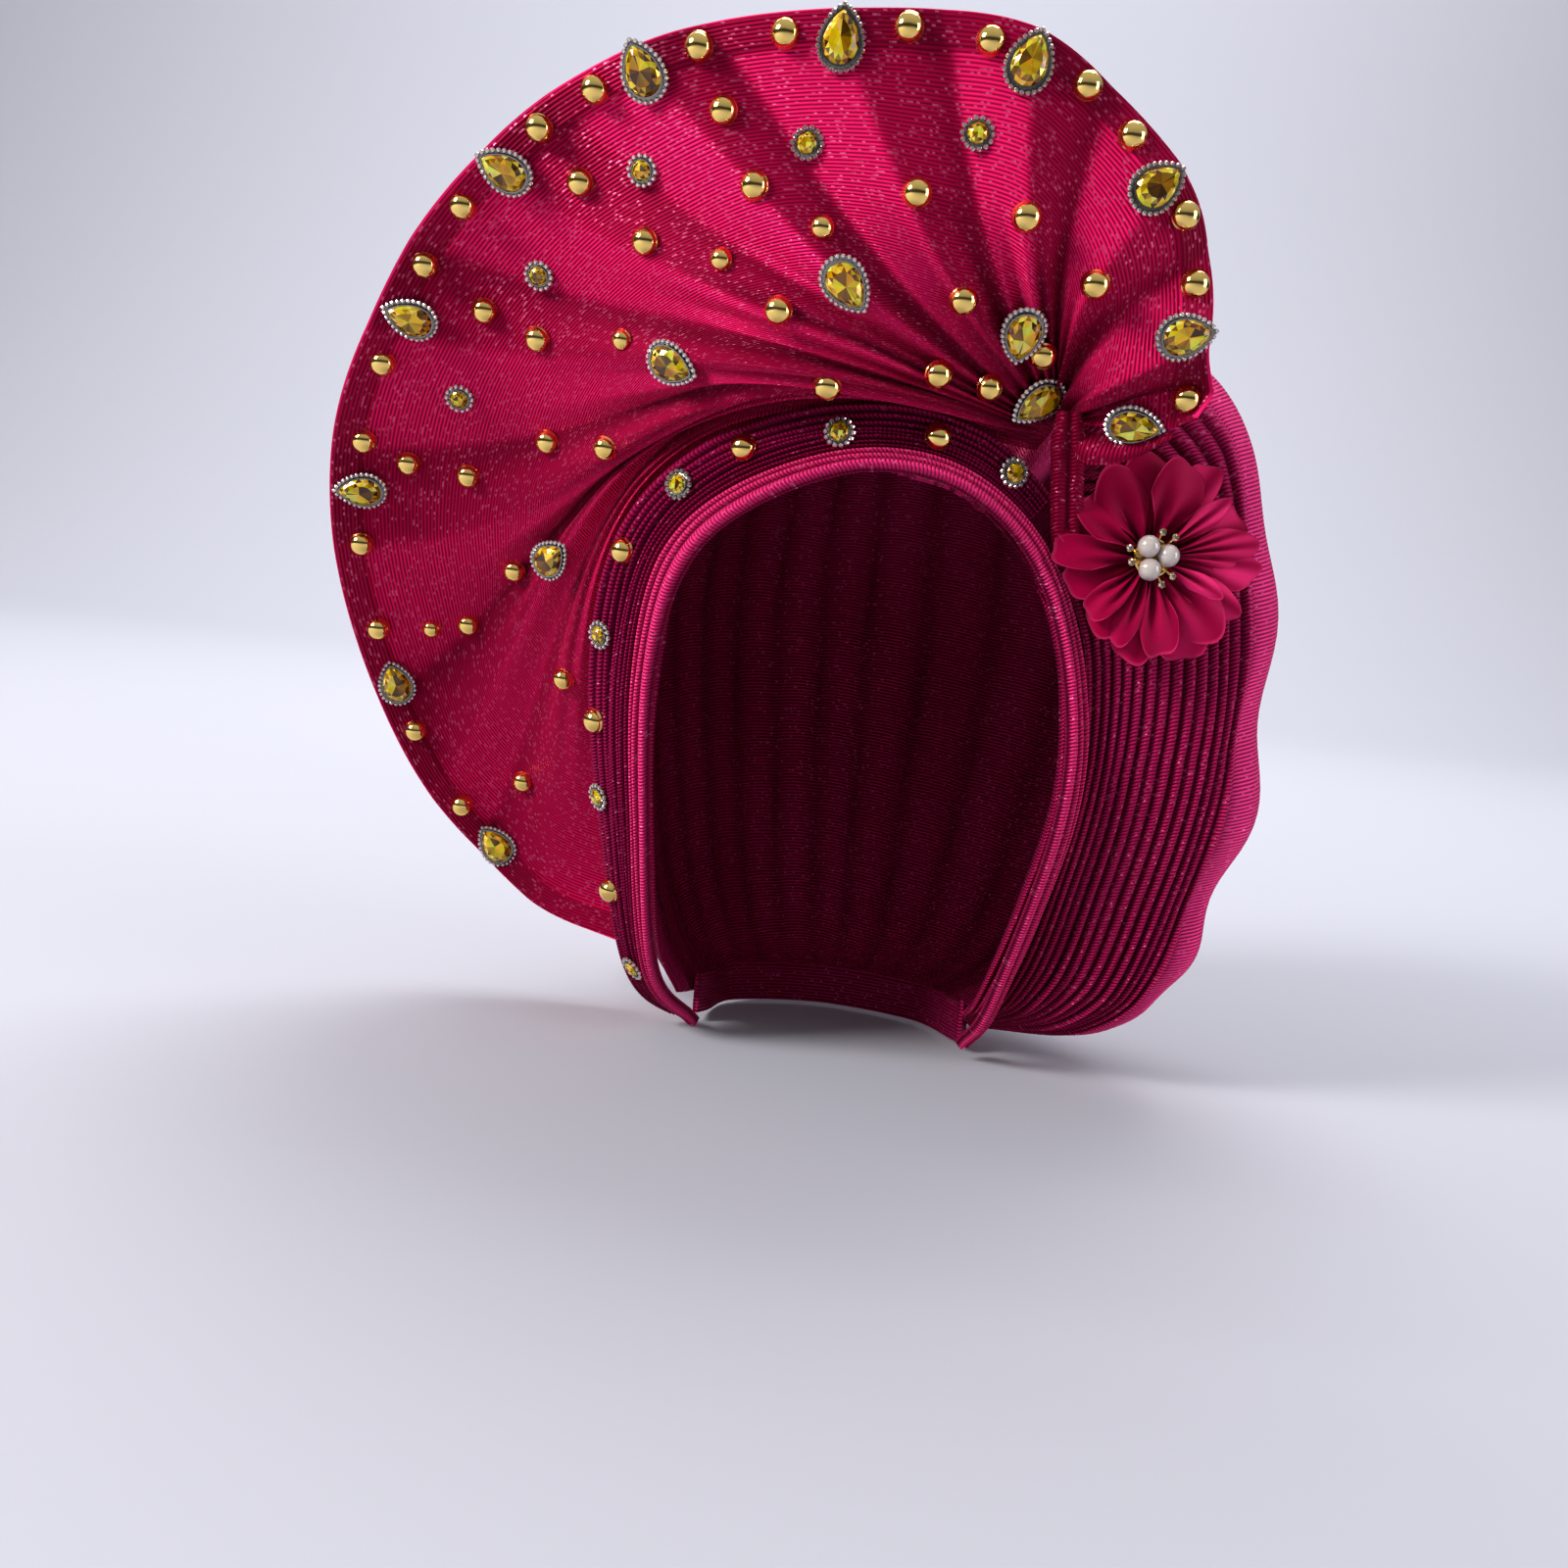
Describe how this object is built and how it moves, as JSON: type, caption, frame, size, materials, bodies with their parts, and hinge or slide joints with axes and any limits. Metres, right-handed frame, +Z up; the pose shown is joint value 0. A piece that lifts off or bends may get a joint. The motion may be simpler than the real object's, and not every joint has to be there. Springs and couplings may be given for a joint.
{
  "type": "tied gele head tie",
  "caption": "Ready-tied pleated head tie with a standing fan, a pleated cap open for the head, glued stones and studs, and a cloth flower.",
  "frame": {"origin": "the crown of the wearer's head, where the cap sits", "axes": "+Z up, the wearer faces -Y, the wearer's left is +X"},
  "size_m": [0.3246, 0.2311, 0.3279],
  "materials": {
    "fan_cloth": "ribbed cloth with metallic flecks, satin",
    "band_cloth": "ribbed cloth, tightly pleated, satin",
    "brim_cloth": "ribbed cloth, rolled, satin",
    "cap_cloth": "ribbed cloth, pleated, satin",
    "petal_chiffon": "sheer chiffon",
    "brooch_pearl": "pearl, on a gilt plate",
    "amber_stone": "faceted, clear, polished",
    "gold_stud": "polished"
  },
  "bodies": {
    "root": {"fan": "fan_cloth", "forehead_pleats": "band_cloth", "face_brim": "brim_cloth", "cap_panel": "cap_cloth", "cap_back": "cap_cloth", "nape_band": "cap_cloth", "flower_petals_lower": "petal_chiffon", "flower_petals_upper": "petal_chiffon", "flower_brooch": "brooch_pearl", "teardrop_stone_01": "amber_stone", "teardrop_stone_02": "amber_stone", "teardrop_stone_03": "amber_stone", "teardrop_stone_04": "amber_stone", "teardrop_stone_05": "amber_stone", "teardrop_stone_06": "amber_stone", "teardrop_stone_07": "amber_stone", "teardrop_stone_08": "amber_stone", "teardrop_stone_09": "amber_stone", "teardrop_stone_10": "amber_stone", "teardrop_stone_11": "amber_stone", "teardrop_stone_12": "amber_stone", "teardrop_stone_13": "amber_stone", "teardrop_stone_14": "amber_stone", "teardrop_stone_15": "amber_stone", "teardrop_stone_16": "amber_stone", "round_stone_01": "amber_stone", "round_stone_02": "amber_stone", "round_stone_03": "amber_stone", "round_stone_04": "amber_stone", "round_stone_05": "amber_stone", "round_stone_06": "amber_stone", "round_stone_07": "amber_stone", "round_stone_08": "amber_stone", "round_stone_09": "amber_stone", "round_stone_10": "amber_stone", "round_stone_11": "amber_stone", "rim_stud_01": "gold_stud", "rim_stud_02": "gold_stud", "rim_stud_03": "gold_stud", "rim_stud_04": "gold_stud", "rim_stud_05": "gold_stud", "rim_stud_06": "gold_stud", "rim_stud_07": "gold_stud", "rim_stud_08": "gold_stud", "rim_stud_09": "gold_stud", "rim_stud_10": "gold_stud", "rim_stud_11": "gold_stud", "rim_stud_12": "gold_stud", "rim_stud_13": "gold_stud", "rim_stud_14": "gold_stud", "rim_stud_15": "gold_stud", "rim_stud_16": "gold_stud", "rim_stud_17": "gold_stud", "rim_stud_18": "gold_stud", "rim_stud_19": "gold_stud", "band_stud_01": "gold_stud", "band_stud_02": "gold_stud", "band_stud_03": "gold_stud", "band_stud_04": "gold_stud", "band_stud_05": "gold_stud"}
  },
  "joints": []
}
